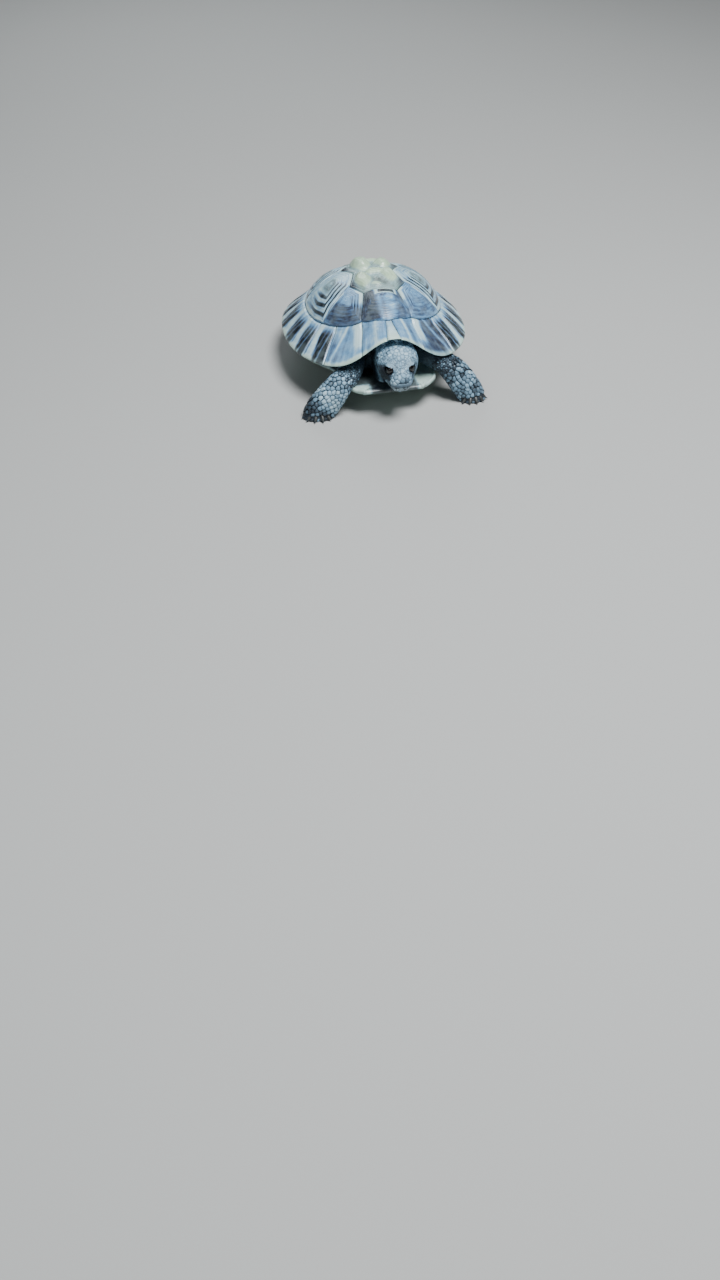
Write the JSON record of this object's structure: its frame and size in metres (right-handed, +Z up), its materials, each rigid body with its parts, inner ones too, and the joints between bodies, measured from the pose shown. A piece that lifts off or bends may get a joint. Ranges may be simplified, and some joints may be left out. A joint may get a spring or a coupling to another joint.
{
  "type": "tortoise model",
  "caption": "Young tortoise standing with its head out and turned a little down, flared patterned shell and raised back, as a still life-size museum model that rests on its feet.",
  "frame": {"origin": "middle of the footprint's bounding box, on the floor", "axes": "+Z up; the animal faces -Y; +X is its left side"},
  "size_m": [0.1008, 0.1218, 0.0539],
  "materials": {
    "horn": "satin horn plates, pale with blue-grey markings",
    "skin": "dry scaly skin, blue-grey",
    "eye": "wet dark gloss"
  },
  "bodies": {
    "root": {"eye_left": "eye", "eye_right": "eye", "front_left_foot": "skin", "front_left_forearm": "skin", "front_left_upper_arm": "skin", "front_right_foot": "skin", "front_right_forearm": "skin", "front_right_upper_arm": "skin", "head": "skin", "hind_left_foot": "skin", "hind_left_shank": "skin", "hind_left_thigh": "skin", "hind_right_foot": "skin", "hind_right_shank": "skin", "hind_right_thigh": "skin", "lower_jaw": "skin", "neck": "skin", "plastron": "horn", "shell_costal_left_1": "horn", "shell_costal_left_2": "horn", "shell_costal_left_3": "horn", "shell_costal_left_4": "horn", "shell_costal_right_1": "horn", "shell_costal_right_2": "horn", "shell_costal_right_3": "horn", "shell_costal_right_4": "horn", "shell_marginal_left_01": "horn", "shell_marginal_left_02": "horn", "shell_marginal_left_03": "horn", "shell_marginal_left_04": "horn", "shell_marginal_left_05": "horn", "shell_marginal_left_06": "horn", "shell_marginal_left_07": "horn", "shell_marginal_left_08": "horn", "shell_marginal_left_09": "horn", "shell_marginal_left_10": "horn", "shell_marginal_left_11": "horn", "shell_marginal_right_01": "horn", "shell_marginal_right_02": "horn", "shell_marginal_right_03": "horn", "shell_marginal_right_04": "horn", "shell_marginal_right_05": "horn", "shell_marginal_right_06": "horn", "shell_marginal_right_07": "horn", "shell_marginal_right_08": "horn", "shell_marginal_right_09": "horn", "shell_marginal_right_10": "horn", "shell_marginal_right_11": "horn", "shell_nuchal": "horn", "shell_supracaudal_left": "horn", "shell_supracaudal_right": "horn", "shell_vertebral_1": "horn", "shell_vertebral_2": "horn", "shell_vertebral_3": "horn", "shell_vertebral_4": "horn", "shell_vertebral_5": "horn", "tail": "skin", "trunk": "skin"}
  },
  "joints": []
}
